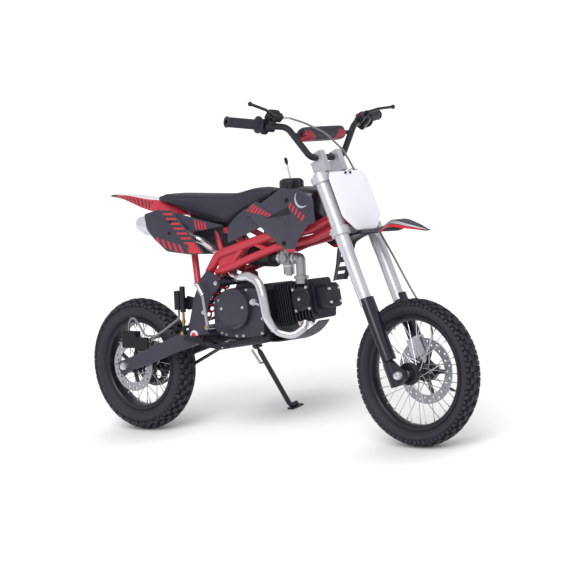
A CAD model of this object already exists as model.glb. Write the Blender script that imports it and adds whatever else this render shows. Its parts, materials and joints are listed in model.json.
import json

import bmesh
import bpy
import numpy as np
from mathutils import Matrix, Vector
from mathutils.bvhtree import BVHTree


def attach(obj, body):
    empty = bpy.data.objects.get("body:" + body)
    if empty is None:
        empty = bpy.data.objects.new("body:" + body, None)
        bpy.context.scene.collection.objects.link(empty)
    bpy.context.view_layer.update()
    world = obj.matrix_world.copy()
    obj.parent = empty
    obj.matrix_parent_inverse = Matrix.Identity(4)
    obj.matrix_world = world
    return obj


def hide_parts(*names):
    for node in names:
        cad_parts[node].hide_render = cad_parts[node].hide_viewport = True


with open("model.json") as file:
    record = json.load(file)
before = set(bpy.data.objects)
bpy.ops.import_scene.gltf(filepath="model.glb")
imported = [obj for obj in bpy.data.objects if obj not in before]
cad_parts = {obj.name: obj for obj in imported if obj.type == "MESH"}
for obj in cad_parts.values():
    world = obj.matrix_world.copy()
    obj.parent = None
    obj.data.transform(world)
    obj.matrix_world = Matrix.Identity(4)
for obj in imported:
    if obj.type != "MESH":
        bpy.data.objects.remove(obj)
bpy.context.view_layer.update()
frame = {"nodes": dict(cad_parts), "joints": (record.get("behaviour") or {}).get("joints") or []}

# The whole bike leans to its left on the side stand.  Its own upright axes come from the axles:
# +X forward, +Y to the rider's left along the axles, +Z up, from the ground midway between the wheels.
joints = {joint["name"]: joint for joint in frame["joints"]}
front_axle = np.array(joints["front_spin"]["pos_m"])
rear_axle = np.array(joints["rear_spin"]["pos_m"])
across = np.array(joints["front_spin"]["axis"])
along = np.array([1.0, 0.0, 0.0])
upward = np.cross(along, across)
bike_axes = np.array([along, across, upward])
wheelbase = 1.26
front_tip, rear_tip = 0.246, 0.238
bike_foot = front_axle - along * wheelbase / 2 - upward * front_tip


def on_bike(points):
    """Points in the upright bike's axes, moved to where they are on the leaning bike."""
    return bike_foot + np.asarray(points, float) @ bike_axes


def about(axle):
    """The move of points measured from an axle to where they are on the leaning bike."""
    return lambda points: axle + points @ bike_axes


# Tyres: knobbly cross-country tyres, a 14 inch one in front and a 12 inch one behind, moulded in
# black rubber: a round carcass with rows of tapered blocks and a ring of short ribs on each wall.
def linear(shade):
    """A shade as seen on a screen, 0 to 255, in the linear scale that shaders use, with alpha."""
    seen = np.array(shade) / 255
    level = np.where(seen < 0.04045, seen / 12.92, ((seen + 0.055) / 1.055) ** 2.4)
    return (*level.tolist(), 1.0)


class Value:
    """A value in a node tree: arithmetic on it adds the nodes that work the result out."""

    def __init__(self, tree, socket):
        self.tree, self.socket = tree, socket

    def worked(self, operation, *others):
        values = dict(enumerate((self, *others)))
        return Value(self.tree, node(self.tree, "Math", values, operation=operation).outputs[0])

    def clamped(self):
        """The last node's result is kept from 0 to 1."""
        self.socket.node.use_clamp = True
        return self

    def __add__(self, other):
        return self.worked("ADD", other)

    def __sub__(self, other):
        return self.worked("SUBTRACT", other)

    def __mul__(self, other):
        return self.worked("MULTIPLY", other)

    def __truediv__(self, other):
        return self.worked("DIVIDE", other)

    def __or__(self, other):
        return self.worked("MAXIMUM", other)

    def __gt__(self, other):
        return self.worked("GREATER_THAN", other)

    def __lt__(self, other):
        return self.worked("LESS_THAN", other)


def put(tree, value, socket):
    """Link a value or a socket to another socket, or set it to a plain number."""
    value = value.socket if isinstance(value, Value) else value
    if isinstance(value, bpy.types.NodeSocket):
        tree.links.new(value, socket)
    else:
        socket.default_value = value


def node(tree, kind, inputs=(), **settings):
    """A node of a kind, with its settings, and with its inputs linked or set."""
    added = tree.nodes.new("ShaderNode" + kind)
    for name, setting in settings.items():
        setattr(added, name, setting)
    for name, value in dict(inputs).items():
        put(tree, value, added.inputs[name])
    return added


def vector_value(tree, operation, first, second):
    """The number that a vector operation makes of two places or directions."""
    return Value(tree, node(tree, "VectorMath", {0: first, 1: second}, operation=operation).outputs["Value"])


def noise(place, scale, detail):
    made = node(place.tree, "TexNoise", {"Vector": place, "Scale": scale, "Detail": detail})
    return Value(place.tree, made.outputs["Fac"])


def new_group(name, inputs, outputs):
    """An empty node group, what it is given, and the sockets of the masks and values it makes."""
    group = bpy.data.node_groups.new(name, "ShaderNodeTree")
    for label, (kind, start) in inputs.items():
        socket = group.interface.new_socket(label, in_out="INPUT", socket_type="NodeSocket" + kind)
        socket.default_value = start
    for label in outputs:
        group.interface.new_socket(label, in_out="OUTPUT", socket_type="NodeSocketFloat")
    given = group.nodes.new("NodeGroupInput").outputs
    return (group, {label: Value(group, given[label]) for label in inputs},
            group.nodes.new("NodeGroupOutput").inputs)


# Grain shared by every finish: a slow cloudy change, a fine speck, and a height for the bump.
grain_group, given, made = new_group(
    "surface_grain", {"Place": ("Vector", (0, 0, 0)), "Grain": ("Float", 900.0), "Cloud": ("Float", 9.0)},
    ["Cloudy", "Speck", "Height"])
speck = noise(given["Place"], given["Grain"], 2.0)
coarse = noise(given["Place"], given["Grain"] * 0.3, 2.0)
put(grain_group, noise(given["Place"], given["Cloud"], 3.0), made["Cloudy"])
put(grain_group, speck, made["Speck"])
put(grain_group, coarse * 0.6 + speck * 0.4, made["Height"])

# Edge wear shared by painted and moulded pieces: where the rounded normal parts from the flat one.
wear_group, given, made = new_group(
    "edge_wear", {"Place": ("Vector", (0, 0, 0)), "Width": ("Float", 0.0015), "Amount": ("Float", 0.5)},
    ["Worn"])
rounded = node(wear_group, "Bevel", {"Radius": given["Width"]}, samples=4).outputs["Normal"]
flat = node(wear_group, "NewGeometry").outputs["Normal"]
likeness = vector_value(wear_group, "DOT_PRODUCT", rounded, flat)
parted = ((likeness * -1.0 + 1.0) * 9.0).clamped()
patchy = (noise(given["Place"], 160.0, 4.0) - 0.32).clamped()
put(wear_group, (parted * (patchy * 3.0) * given["Amount"]).clamped(), made["Worn"])


def finish(name, shade, roughness, metal=0.0, grain=900.0, cloud=9.0, depth=0.0, mottle=0.12,
           worn=0.0, worn_shade=None, coat=0.0):
    """A material whose colour drifts with the cloudy grain, whose roughness follows the specks,
    whose height gives the bump, and whose edges go towards a worn shade."""
    material = bpy.data.materials.new(name)
    material.use_nodes = True
    tree = material.node_tree
    place = node(tree, "TexCoord").outputs["Object"]
    skin = node(tree, "Group", {"Place": place, "Grain": grain, "Cloud": cloud}, node_tree=grain_group).outputs
    level = np.array(linear(shade)[:3])
    dark, light = ((*np.clip(level * (1 + drift), 0, 1), 1.0) for drift in (-mottle, mottle))
    colour = node(tree, "Mix", {0: skin["Cloudy"], 6: dark, 7: light}, data_type="RGBA").outputs[2]
    if worn:
        edges = node(tree, "Group", {"Place": place, "Amount": worn}, node_tree=wear_group)
        colour = paint_over(tree, colour, edges.outputs["Worn"], worn_shade)
    look = {"Base Color": colour, "Metallic": metal, "Coat Weight": coat, "Coat Roughness": 0.08,
            "Roughness": Value(tree, skin["Speck"]) * (0.16 * roughness) + 0.92 * roughness}
    if depth:
        bump = node(tree, "Bump", {"Distance": depth, "Strength": 0.7, "Height": skin["Height"]})
        look["Normal"] = bump.outputs["Normal"]
    for label, value in look.items():
        put(tree, value, tree.nodes["Principled BSDF"].inputs[label])
    return material


def paint_over(tree, under, mask, shade):
    """The colour under, changed to another shade where the mask is 1."""
    return node(tree, "Mix", {0: mask, 6: under, 7: linear(shade)}, data_type="RGBA").outputs[2]


def print_on(material, *layers):
    """Each layer, a mask and a shade, goes over the material's own colour."""
    tree = material.node_tree
    base = tree.nodes["Principled BSDF"].inputs["Base Color"]
    colour = base.links[0].from_socket
    for mask, shade in layers:
        colour = paint_over(tree, colour, mask, shade)
    put(tree, colour, base)


def grid_faces(rows, columns, round_rows=False, round_columns=False):
    """Quads between neighbouring points of a grid that is numbered row by row."""
    row, column = np.meshgrid(np.arange(rows if round_rows else rows - 1),
                              np.arange(columns if round_columns else columns - 1), indexing="ij")
    next_row, next_column = (row + 1) % rows, (column + 1) % columns
    return np.stack([row * columns + column, next_row * columns + column,
                     next_row * columns + next_column, row * columns + next_column], -1).reshape(-1, 4)


def tube_faces(rows, columns):
    """Quads of a grid whose rows are rings, and a face on each end."""
    ring = np.arange(columns)
    ends = [ring.tolist(), (ring + (rows - 1) * columns).tolist()]
    return grid_faces(rows, columns, False, True).tolist() + ends


def joined(parts):
    """Several (points, faces) pairs as one pair, each one's faces numbered after the last one's."""
    offsets = np.cumsum([0] + [len(points) for points, faces in parts[:-1]]).tolist()
    points = np.concatenate([points for points, faces in parts])
    faces = [[corner + offset for corner in face] for (_, some), offset in zip(parts, offsets)
             for face in (some.tolist() if isinstance(some, np.ndarray) else some)]
    return points, faces


def add_piece(name, parts, material, replaced=(), sharp=40, body="chassis", place=None, closed=True,
              own_map=None):
    """One object of (points, faces) pairs, moved by place, riding on a body of the frame; own_map gives
    each point's place on the piece's own UV map."""
    points, faces = joined(parts)
    mesh = bpy.data.meshes.new(name)
    mesh.from_pydata((place(points) if place else points).tolist(), [], faces)
    if closed:
        shape = bmesh.new()
        shape.from_mesh(mesh)
        bmesh.ops.recalc_face_normals(shape, faces=shape.faces)
        shape.to_mesh(mesh)
        shape.free()
    if own_map is not None:
        corner_points = np.empty(len(mesh.loops), int)
        mesh.loops.foreach_get("vertex_index", corner_points)
        mesh.uv_layers.new(name="own_map").data.foreach_set("uv", own_map[corner_points].ravel())
    mesh.shade_smooth()
    mesh.set_sharp_from_angle(angle=np.radians(sharp))
    mesh.materials.append(material)
    piece = bpy.data.objects.new(name, mesh)
    bpy.context.scene.collection.objects.link(piece)
    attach(piece, body)
    if replaced:
        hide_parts(*replaced)
    return piece


def turned(profile, steps):
    """A closed profile of (radius, distance along the axle) turned about the axle:
    x = radius cos a, y = distance, z = radius sin a."""
    radius, side = np.asarray(profile, float).T
    angle = np.arange(steps) * 2 * np.pi / steps
    points = np.stack([np.outer(np.cos(angle), radius), np.broadcast_to(side, (steps, len(side))),
                       np.outer(np.sin(angle), radius)], -1)
    return points.reshape(-1, 3), grid_faces(steps, len(side), True, True)


def mirrored(half):
    """A half profile of (radius, side), and back along its other half."""
    return np.concatenate([half, (np.array(half) * (1, -1))[::-1]])


def tread_blocks(tip, rows, table):
    """Tapered blocks on the round crown.  A block's corners are at (l, b, h): l along the rim,
    b along the crown's arc of 50 mm radius, h above the carcass.  The arc's centre is 50 mm under
    the tip, so radius = tip - 0.05 + (base + h) cos(b / 0.05) and side = (base + h) sin(b / 0.05)."""
    crown = 0.05
    ring = np.array([(-1, -1), (1, -1), (1, 1), (-1, 1)], float) / 2
    lift, spread = np.array([(-0.2, 1.16), (0.86, 1.0), (1.0, 0.84)]).T[:, None, :, None]
    start, middle, length, width, height = np.array(table).T[:, :, None, None]
    l = spread * ring[:, 0] * length
    b = middle + spread * ring[:, 1] * width
    reach = crown - height + lift * height
    turn = (np.arange(rows)[:, None, None, None] + start) * 2 * np.pi / rows + l / tip
    radius = tip - crown + reach * np.cos(b / crown)
    side = np.broadcast_to(reach * np.sin(b / crown), turn.shape)
    points = np.stack([radius * np.cos(turn), side, radius * np.sin(turn)], -1).reshape(-1, 3)
    block = np.concatenate([grid_faces(3, 4, False, True), [[8, 9, 10, 11]]])
    return points, (block + 12 * np.arange(len(points) // 12)[:, None, None]).reshape(-1, 4)


def place_from(tree, origin, axes=bike_axes):
    """A piece's own place from an origin in a set of axes: x forward, y along the axle, z up."""
    own = node(tree, "TexCoord").outputs["Object"]
    turn = Matrix(axes.tolist()).transposed().to_euler()
    mapping = node(tree, "Mapping", {"Vector": own, "Location": origin, "Rotation": turn}, vector_type="TEXTURE")
    return Value(tree, mapping.outputs["Vector"])


def parts_of(place):
    """The three numbers of a place."""
    return [Value(place.tree, part) for part in node(place.tree, "SeparateXYZ", {0: place}).outputs]


def polar(place):
    """Distance from the axle, and turn about it in whole turns."""
    x, y, z = parts_of(place)
    return (x * x + z * z).worked("SQRT"), z.worked("ARCTAN2", x) / (2 * np.pi)


def between(value, low, high, soft):
    """A mask that is 1 from low to high, with soft edges."""
    return ((value - low) / soft).clamped() * ((value * -1.0 + high) / soft).clamped()


def add_tyre(end, axle, tip, profile, rows, table, rib_low, rib_high, bead):
    """Carcass and mirrored blocks as one piece, in matt rubber with fine grain; rings and short ribs
    stand out on the walls as bump."""
    rubber = finish(end + "_tyre_rubber", (35, 34, 45), 0.62, grain=1400, cloud=14, depth=3e-4, mottle=0.2)
    tree = rubber.node_tree
    radius, turn = polar(place_from(tree, axle))
    dashes = between((turn * 64.0).worked("FRACT"), 0.2, 0.75, 0.06)
    rings = (between(radius, bead + 0.004, bead + 0.006, 0.0006)
             + between(radius, bead + 0.01, bead + 0.0112, 0.0005))
    height = between(radius, rib_low, rib_high, 0.0008) * dashes + rings
    moulded = node(tree, "Bump", {"Distance": 0.0011, "Height": height})
    put(tree, moulded.outputs["Normal"], tree.nodes["Bump"].inputs["Normal"])
    blocks = [(start, side * middle, *size) for start, middle, *size in table for side in (-1, 1)]
    add_piece(end + "_tyre_tread", [turned(mirrored(profile), 144), tread_blocks(tip, rows, blocks)], rubber,
              (end + "_tyre",), 50, end + "_wheel", about(axle))


# Walls: radius and side, from inside the rim round to the middle of the crown.
# Blocks: place in the row, middle across, length, width, height.
add_tyre("front", front_axle, front_tip, [
    (0.184, 0.004), (0.184, 0.018), (0.1935, 0.0187), (0.196, 0.0225), (0.201, 0.028), (0.208, 0.0325),
    (0.215, 0.0346), (0.2215, 0.0325), (0.2265, 0.0276), (0.2312, 0.0205), (0.2345, 0.014),
    (0.2364, 0.0071), (0.237, 0.001),
], 40, [
    (0.0, 0.008, 0.02, 0.0125, 0.01), (0.5, 0.0215, 0.0185, 0.012, 0.01),
    (0.0, 0.0355, 0.015, 0.012, 0.0105), (0.5, 0.038, 0.012, 0.0085, 0.0085),
], 0.2225, 0.2275, 0.1935)
add_tyre("rear", rear_axle, rear_tip, [
    (0.158, 0.004), (0.158, 0.025), (0.1675, 0.0257), (0.17, 0.03), (0.176, 0.036), (0.185, 0.0402),
    (0.195, 0.0418), (0.203, 0.04), (0.209, 0.035), (0.2155, 0.029), (0.2212, 0.0218), (0.225, 0.0146),
    (0.2272, 0.0073), (0.228, 0.001),
], 36, [
    (0.0, 0.0085, 0.021, 0.014, 0.011), (0.5, 0.024, 0.021, 0.0145, 0.011),
    (0.0, 0.04, 0.019, 0.015, 0.012), (0.5, 0.046, 0.015, 0.011, 0.01),
], 0.208, 0.214, 0.1675)

# Rims: rolled steel hoops with a dropped well, sprayed satin black; the rolled lips stay bright
# where the tyre lever and the polishing wheel touched them.
rim_black = finish("rim_black", (33, 31, 41), 0.32, 0.35, 600, depth=8e-5, worn=0.25, worn_shade=(150, 150, 156))


def add_rim(end, axle, radius, half):
    """The hoop's cross-section has round lips: an outer lip, the bead seat, the well, and the bed
    where the spoke nipples sit."""
    lip = 0.0026
    arc = np.linspace(0, np.pi, 7)
    bed = radius - 0.019
    outer = np.stack([radius - lip + lip * np.sin(arc), half - lip + lip * np.cos(arc)], -1)
    side = [(bed - 0.0006, 0.004), (bed, 0.011), (bed + 0.0035, half - 0.0035), (bed + 0.0075, half - 0.0002)]
    well = [(radius - 0.007, half - 0.0052), (bed + 0.006, half - 0.007), (bed + 0.004, 0.009),
            (bed + 0.004, 0.002)]
    add_piece(end + "_rim_hoop", [turned(mirrored(np.concatenate([side, outer, well])), 144)], rim_black,
              (end + "_rim",), 35, end + "_wheel", about(axle))


add_rim("front", front_axle, 0.1925, 0.022)
add_rim("rear", rear_axle, 0.1665, 0.029)

# Hubs and spokes: cast hubs sprayed black, each with 36 bright steel spokes laced from two flanges
# and held in the rim by plated nipples; the front hub has a turned drum on its right.
hub_black = finish("hub_black", (26, 25, 35), 0.42, 0.2, 700, depth=2e-4, worn=0.2, worn_shade=(110, 110, 116))
spoke_steel = finish("spoke_steel", (205, 205, 212), 0.24, 1.0, 1500, mottle=0.08)


def unit_of(way):
    """Steps of length 1 along one or more ways."""
    return way / np.linalg.norm(way, axis=-1, keepdims=True)


def spun(starts, ends, profile, sides=12, hollow=False):
    """Round forms about the line from each start to each end.  The profile is rows of (radius, share):
    point = start + share (end - start) + radius (u cos a + v sin a).  Both ends are closed; the profile
    of a hollow form goes round to its first row instead."""
    starts, ends = np.atleast_2d(starts), np.atleast_2d(ends)
    way = ends - starts
    u = unit_of(np.cross(unit_of(way), np.array([0.31, 0.52, 0.79])))
    v = np.cross(unit_of(way), u)
    angle = np.arange(sides) * 2 * np.pi / sides
    ring = u[:, None] * np.cos(angle)[:, None] + v[:, None] * np.sin(angle)[:, None]
    radius, share = np.asarray(profile, float).T
    points = (starts[:, None, None] + way[:, None, None] * share[None, :, None, None]
              + ring[:, None] * radius[None, :, None, None]).reshape(-1, 3)
    if hollow:
        return points, grid_faces(len(share), sides, True, True)
    shift = len(share) * sides * np.arange(len(starts))
    faces = (grid_faces(len(share), sides, False, True) + shift[:, None, None]).reshape(-1, 4).tolist()
    first = np.arange(sides) + shift[:, None]
    return points, faces + np.concatenate([first, first + (len(share) - 1) * sides]).tolist()


def rod(start, end, radius, sides):
    return spun(start, end, [(radius, 0), (radius, 1)], sides)


def add_hub(end, axle, rim_radius, at, left_end, right_end):
    """Shell and spokes, laced as in the frame: neighbours lean opposite ways off alternate flanges,
    which are at this distance left and right of the middle."""
    flange = 0.031
    left, right = [[(0.0083, tip), (0.019, tip), (0.019, at + 0.006), (0.022, at + 0.003),
                    (flange - 0.001, at + 0.002), (flange, at + 0.001), (flange, at - 0.002),
                    (flange - 0.001, at - 0.003), (0.02, at - 0.008)] for tip in (left_end, right_end)]
    shell = left + [(0.0175, 0.0)] + [(radius, -side) for radius, side in right[::-1]]
    add_piece(end + "_hub_shell", [turned(shell, 72)], hub_black, (end + "_hub",), 32,
              end + "_wheel", about(axle))
    spoke = np.arange(36)
    angle = spoke * 2 * np.pi / 36
    lace = angle + np.where(spoke % 4 < 2, 1, -1) * np.radians(52)
    hooks, tip = flange - 0.004, rim_radius - 0.019
    root = np.stack([hooks * np.cos(lace), np.where(spoke % 2, at, -at), hooks * np.sin(lace)], -1)
    seat = np.stack([tip * np.cos(angle), np.where(spoke % 2, 0.004, -0.004), tip * np.sin(angle)], -1)
    way = unit_of(seat - root)
    half_head = np.array([0, 0.0025, 0])
    add_piece(end + "_hub_spokes", [
        rod(root, seat, 0.0014, 7),
        spun(seat - way * 0.013, seat + way * 0.001, [(0.0024, 0), (0.0028, 1)], 6),
        rod(root - way * 0.001 + half_head, root - way * 0.001 - half_head, 0.0028, 8),
    ], spoke_steel, (), 35, end + "_wheel", about(axle))


add_hub("front", front_axle, 0.1925, 0.027, 0.0477, 0.0417)
add_hub("rear", rear_axle, 0.1665, 0.038, 0.0597, 0.0597)
drum = turned([(0.0083, -0.0335), (0.035, -0.0335), (0.037, -0.0355), (0.037, -0.053), (0.0345, -0.056),
               (0.0083, -0.057)], 64)
add_piece("front_hub_drum", [drum], hub_black, (), 32, "front_wheel", about(front_axle))


# Brake discs: ground stainless steel rings, with the grinding marks running round, on black carriers.
def disc_steel(name, axle, carrier):
    """Ground steel, painted black inside the carrier's radius."""
    material = finish(name, (178, 178, 186), 0.34, 0.9, mottle=0.1)
    tree = material.node_tree
    shader = tree.nodes["Principled BSDF"].inputs
    radius, turn = polar(place_from(tree, axle))
    marks = node(tree, "TexNoise", {"W": radius, "Scale": 2600.0}, noise_dimensions="1D").outputs["Fac"]
    put(tree, node(tree, "Bump", {"Distance": 6e-5, "Height": marks}).outputs["Normal"], shader["Normal"])
    inside = radius < carrier
    print_on(material, (inside, (27, 26, 36)))
    put(tree, inside * -0.7 + 0.9, shader["Metallic"])
    return material


def dress(material, *names):
    """Nodes of the frame whose own material slots all take one finish."""
    for name in names:
        slots = frame["nodes"][name].data.materials
        slots.clear()
        slots.append(material)


dress(disc_steel("front_disc_steel", front_axle, 0.078), "front_disc")
dress(disc_steel("rear_disc_steel", rear_axle, 0.065), "rear_disc")

# Fork: silver anodised upper tubes in cast clamps, black lower legs behind gloss guards.  Socket bolts
# pinch the clamps round the tubes, and each leg is closed by a hexagon cap.
fork_foot = np.array(joints["steering"]["pos_m"])
fork_up = np.array(joints["steering"]["axis"])
fork_axes = np.array([np.cross(across, fork_up), across, fork_up])


def on_fork(points):
    """Points ahead of the steering axis, to the left and up along it, moved to the bike."""
    return fork_foot + np.asarray(points, float) @ fork_axes


def screw_heads(places, way, radius, height, sides=14):
    """Round heads with a sunk drive, or hexagons where there are six sides."""
    places = np.atleast_2d(places)
    ends = places + np.asarray(way, float) * height
    socket = [(0.42 * radius, 0.35), (0.46 * radius, 1.0)] if sides > 6 else [(0.4 * radius, 1.06)]
    profile = socket + [(0.86 * radius, 1.0), (radius, 0.82), (radius, -0.5)]
    return spun(places, ends, profile, sides)


fork_silver = finish("fork_silver", (214, 214, 221), 0.34, 0.55, 1100, depth=4e-5, mottle=0.04)
clamp_silver = finish("clamp_silver", (206, 206, 214), 0.4, 0.6, 800, depth=1.2e-4, mottle=0.07)
leg_black = finish("leg_black", (42, 41, 53), 0.35, 0.4, mottle=0.1, worn=0.2, worn_shade=(130, 130, 136))
gloss_black = finish("gloss_black", (28, 27, 39), 0.16, grain=350, depth=3e-5, mottle=0.1, coat=0.3)
zinc_steel = finish("zinc_steel", (214, 213, 218), 0.28, 0.85, 1600, mottle=0.1)
black_steel = finish("black_steel", (26, 25, 34), 0.36, 0.4, 1600)
dress(fork_silver, "fork_tubes")
dress(clamp_silver, "fork_clamps", "bar_risers", "front_caliper")
dress(leg_black, "fork_legs")
dress(gloss_black, "fork_guards")
dress(zinc_steel, "front_axle", "rear_axle")
clamp_top, low_clamp = 0.726, 0.512
bar_z = clamp_top + 0.071
caps = [(0.032, side * 0.086, clamp_top + 0.0095) for side in (-1, 1)]
pinch_bolts = [(0.018, side * 0.1185, low + 0.013) for side in (-1, 1) for low in (low_clamp, 0.7)]
add_piece("fork_screws", [
    screw_heads(on_fork(caps), fork_up, 0.0155, 0.008, 6),
    screw_heads(on_fork((0.0, 0.0, clamp_top)), fork_up, 0.015, 0.01, 6),
    screw_heads(on_fork(pinch_bolts), -fork_axes[0], 0.0045, 0.004),
], zinc_steel, body="fork")
add_piece("front_axle_nuts", [screw_heads(on_fork((0.065, side * 0.108, 0.0)), side * across, 0.013, 0.008, 6)
                              for side in (-1, 1)], zinc_steel, body="fork")
riser_screws = [(0.02 + ahead, side * 0.043, bar_z + 0.0165) for side in (-1, 1) for ahead in (-0.014, 0.014)]
add_piece("riser_screws", [screw_heads(on_fork(riser_screws), fork_up, 0.0045, 0.0045)], black_steel,
          body="fork")

# Handlebar: braced steel bar sprayed black; the grips are moulded rubber sleeves with thin rings, and
# the levers, the throttle and the stop button are in small cast housings clamped round the bar.
bar_black = finish("bar_black", (40, 39, 48), 0.34, 0.35, depth=3e-5, mottle=0.1)
grip_rubber = finish("grip_rubber", (37, 35, 48), 0.6, grain=1300, depth=4e-4)
lever_black = finish("lever_black", (31, 30, 40), 0.36, 0.3, depth=6e-5, mottle=0.1)
dress(bar_black, "handlebar")
dress(lever_black, "bar_controls", "pedals", "rear_master")
ribs = np.arange(0.012, 0.108, 0.004)
grip_profile = np.concatenate([
    [(0.009, 0.0045), (0.009, 0.0008), (0.01, 0.0), (0.018, 0.0), (0.019, 0.0012), (0.019, 0.0042),
     (0.0175, 0.0055)],
    np.stack([np.tile([0.0164, 0.0164, 0.0171, 0.0171], len(ribs)),
              (ribs[:, None] + [0.0, 0.0006, 0.0012, 0.0026]).ravel()], -1),
    [(0.0175, 0.113), (0.021, 0.114), (0.0215, 0.116), (0.025, 0.1168), (0.0286, 0.1176), (0.029, 0.119),
     (0.029, 0.1235), (0.028, 0.125), (0.0115, 0.125), (0.0112, 0.0045)],
])


def bar_end(side):
    """The bar's end on one side, and the way from it to the bend."""
    end = np.array([-0.013, side * 0.39, bar_z + 0.1592])
    return end, unit_of(np.array([0.0439, side * 0.175, bar_z + 0.1061]) - end)


grips = []
for side in (-1, 1):
    end, way = bar_end(side)
    grips.append(spun(end - way * 0.003, end - way * 0.003 + way, grip_profile, 40, True))
add_piece("grip_sleeves", grips, grip_rubber, ("grips",), 50, "fork", on_fork)


def rounded_block(middle, axes, half, round_plan=0.3, round_end=0.3):
    """A block with rounded edges: with s(c, e) = sign(c) |c|^e, a point is
    a s(cos p, e2) s(cos t, e1), b s(cos p, e2) s(sin t, e1), c s(sin p, e2)."""
    swing = np.linspace(-1, 1, 15)
    p = (np.sign(swing) * (1 - (1 - np.abs(swing)) ** 2) * np.radians(89))[:, None]
    corner = np.linspace(-1, 1, 9)[:-1]
    t = (np.arange(4)[:, None] * 90 + 45 + 45 * np.sign(corner) * np.abs(corner) ** 0.7).ravel()
    t = np.radians(t)[None]

    def soft(value, power):
        return np.sign(value) * np.abs(value) ** power

    grid = np.stack([half[0] * soft(np.cos(p), round_end) * soft(np.cos(t), round_plan),
                     half[1] * soft(np.cos(p), round_end) * soft(np.sin(t), round_plan),
                     half[2] * soft(np.sin(p), round_end) * np.ones_like(t)], -1)
    return np.asarray(middle) + grid.reshape(-1, 3) @ np.asarray(axes), tube_faces(*grid.shape[:2])


straight = np.eye(3)
rake = np.radians(22.7)
level_ahead = np.array([np.cos(rake), 0, np.sin(rake)])
level_up = np.array([-np.sin(rake), 0, np.cos(rake)])
housings = []
for side, blocks in (  # each block: in along the bar, ahead, up, half sizes
        (-1, [(0.168, 0.03, 0.01, (0.03, 0.012, 0.014)), (0.172, 0.03, 0.024, (0.021, 0.009, 0.016)),
              (0.15, 0, 0, (0.012, 0.017, 0.03))]),
        (1, [(0.15, 0, 0, (0.016, 0.024, 0.027)), (0.185, 0.012, 0, (0.014, 0.013, 0.022))])):
    end, way = bar_end(side)
    axes = np.array([way, np.cross(way, level_ahead) * -side, level_ahead])
    housings += [rounded_block(end + way * inward + level_ahead * ahead + level_up * up, axes, half)
                 for inward, ahead, up, half in blocks]
add_piece("control_housings", housings, lever_black, (), 35, "fork", on_fork)
button_red = finish("button_red", (196, 38, 44), 0.4, depth=3e-5, mottle=0.1)
button_at = end + way * 0.15
button = spun(button_at + level_up * 0.018, button_at + level_up * 0.031,
              [(0.0085, 0), (0.0085, 0.8), (0.007, 1)], 20)
add_piece("stop_button", [button], button_red, body="fork", place=on_fork)

# Bar pad: a foam block in a glued vinyl sleeve, slit at the back to go over the cross brace; red
# stripes are printed on both ends of its front.
band_inputs = ["Across", "Up", "From Across", "From Up", "To Across", "To Up", "Low", "High", "Count", "Slant",
               "Fill"]
stripe_group, given, made = new_group("stripe_band", {label: ("Float", 0.0) for label in band_inputs}, ["Mask"])
run_across, run_up = given["To Across"] - given["From Across"], given["To Up"] - given["From Up"]
run = (run_across * run_across + run_up * run_up).worked("SQRT")
unit_across, unit_up = run_across / run, run_up / run
off_across, off_up = given["Across"] - given["From Across"], given["Up"] - given["From Up"]
beside = off_up * unit_across - off_across * unit_up
slanted = (off_across * unit_across + off_up * unit_up) / run + given["Slant"] * (beside / run)
inside = between(beside, given["Low"], given["High"], 0.0004) * between(slanted, 0.0, 1.0, 0.004)
painted = between((slanted * given["Count"]).worked("FRACT"), -0.04, given["Fill"], 0.03)
put(stripe_group, inside * painted, made["Mask"])


def stripes(side_view, start, end, low, high, count=1, slant=0.0, fill=2.0):
    """A band of slanted stripes along the line from start to end, between two distances beside it; one
    stripe that fills more than its share is a plain band."""
    numbers = (*side_view, *start, *end, low, high, count, slant, fill)
    tree = side_view[0].tree
    band = node(tree, "Group", zip(band_inputs, numbers), node_tree=stripe_group)
    return Value(tree, band.outputs["Mask"])


def smooth_rows(rows, steps):
    """Rows joined by cubics: between rows p and q with slopes m and n, at share f of the way,
    (2f^3-3f^2+1) p + (f^3-2f^2+f) m + (3f^2-2f^3) q + (f^3-f^2) n."""
    rows = np.asarray(rows, float)
    slope = np.gradient(rows, axis=0)
    t = np.linspace(0, len(rows) - 1, steps)
    k = np.minimum(t.astype(int), len(rows) - 2)
    f = (t - k)[:, None]
    return ((2 * f ** 3 - 3 * f ** 2 + 1) * rows[k] + (f ** 3 - 2 * f ** 2 + f) * slope[k]
            + (3 * f ** 2 - 2 * f ** 3) * rows[k + 1] + (f ** 3 - f ** 2) * slope[k + 1])


def stuffed_body(rows, around, power, floor=1.0):
    """Sections across the bike on rows of (x, half width, low, high): with s(c) = sign(c) |c|^(2/power),
    a section is y = width s(cos a), z = middle + half height s(sin a); the under side is flatter by floor."""
    x, wide, low, high = np.asarray(rows, float).T[:, :, None]
    a = (np.arange(around) + 0.5) * 2 * np.pi / around
    lift = np.sin(a)
    y = wide * np.sign(np.cos(a)) * np.abs(np.cos(a)) ** (2 / power)
    z = np.sign(lift) * np.abs(lift) ** (2 / np.where(lift < 0, power * floor, power))
    points = np.stack([np.broadcast_to(x, y.shape), y, (low + high) / 2 + (high - low) / 2 * z], -1)
    return points.reshape(-1, 3), tube_faces(len(x), around)


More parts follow.
